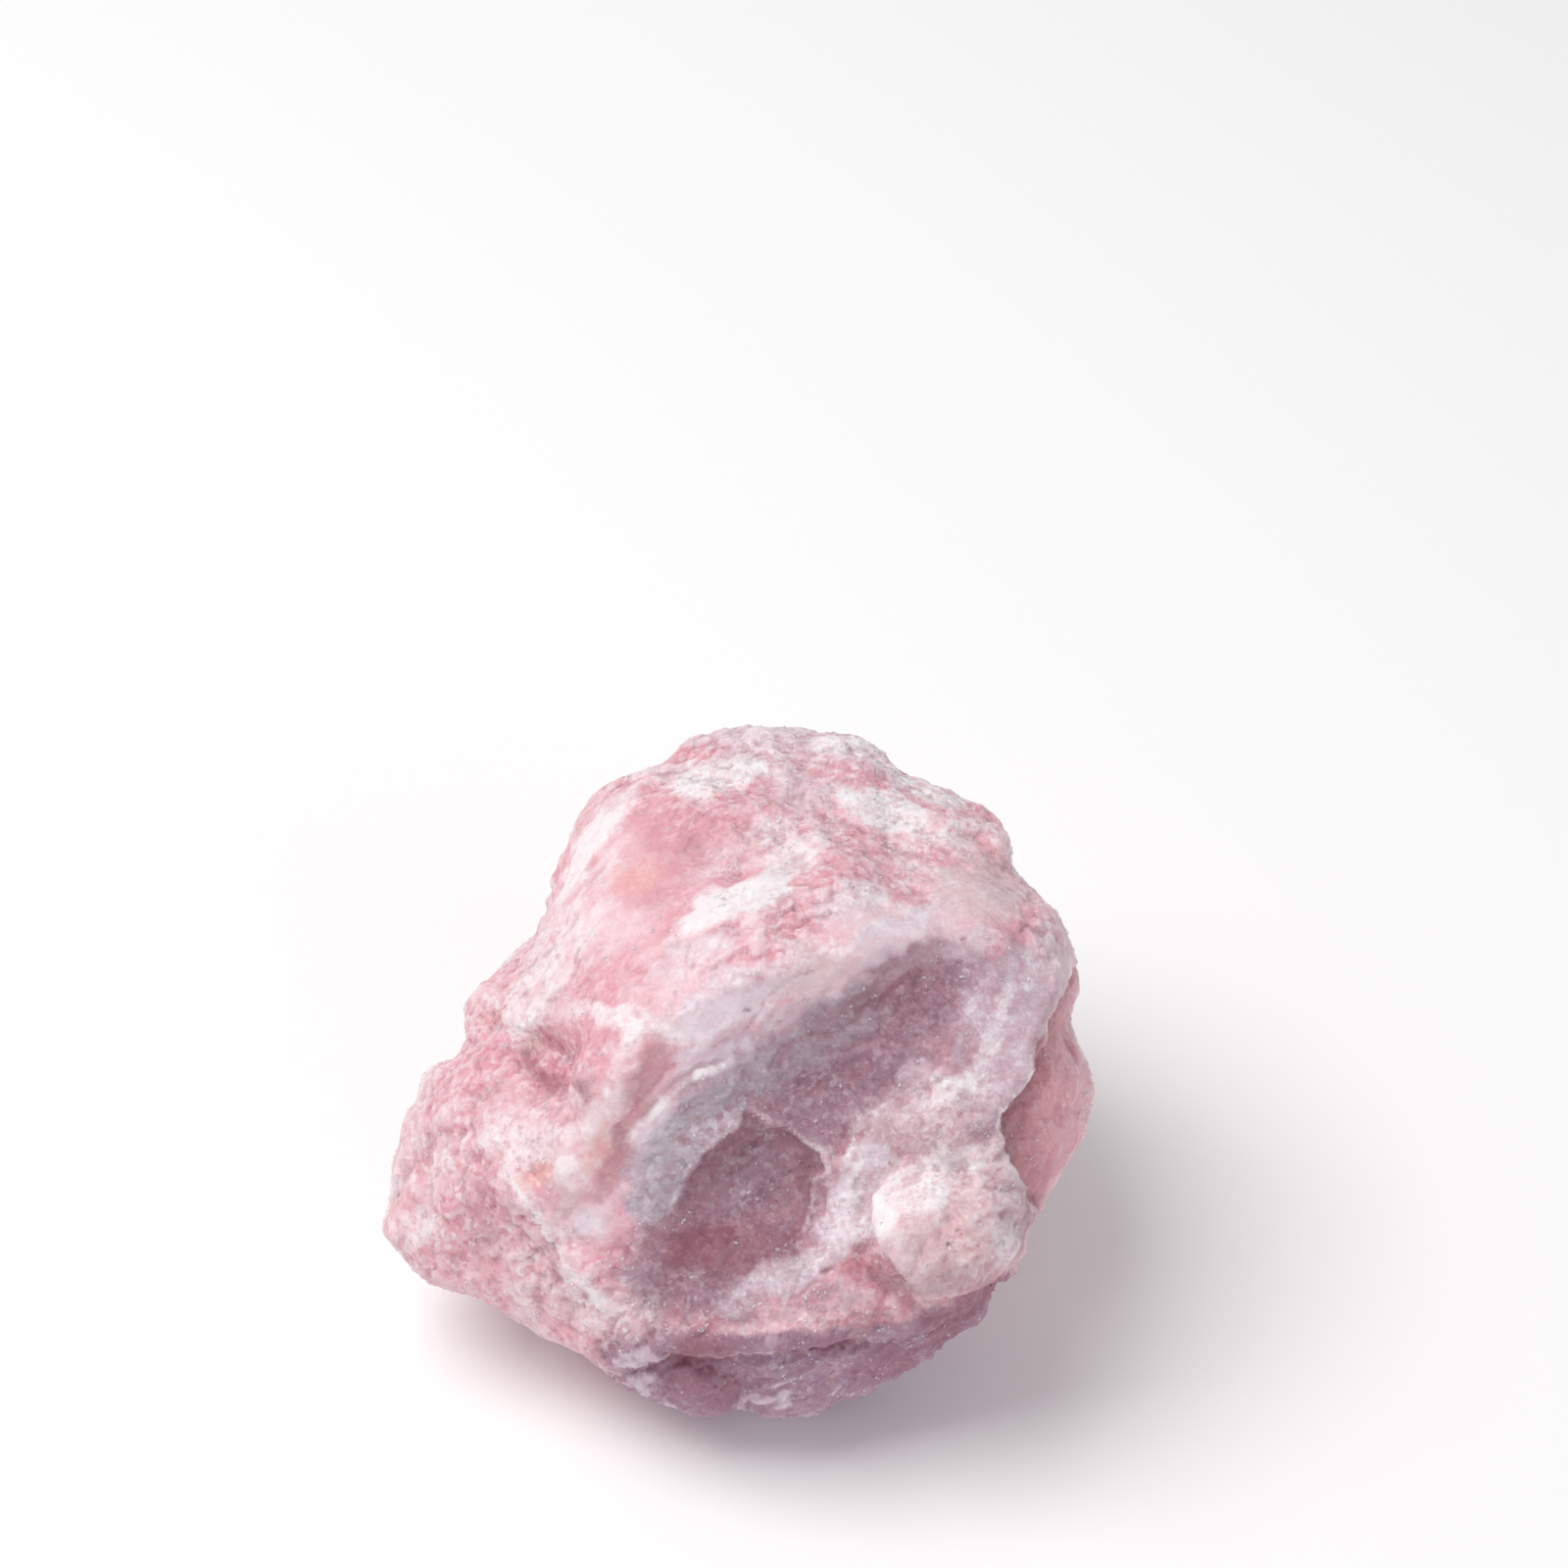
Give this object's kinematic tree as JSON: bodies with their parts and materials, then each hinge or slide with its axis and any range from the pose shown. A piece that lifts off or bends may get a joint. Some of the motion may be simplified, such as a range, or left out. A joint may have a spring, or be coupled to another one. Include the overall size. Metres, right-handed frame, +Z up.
{
  "type": "rough pink opal",
  "caption": "Palm-sized lump of rough, unpolished pink opal with a hollowed front face, a raised ridge, a thin-edged plate and a flat broken face to rest on.",
  "frame": {"origin": "centre of the plan, at the level of the flat resting face", "axes": "+Z up from the resting face, +X to the right along the lump's longest way, -Y towards the side the hollowed face looks to; that face leans back 45 degrees"},
  "size_m": [0.0462, 0.0427, 0.0332],
  "materials": {
    "pink_opal": "rough broken, sugary, waxy in places"
  },
  "bodies": {
    "root": {"pink_opal": "pink_opal"}
  },
  "joints": []
}
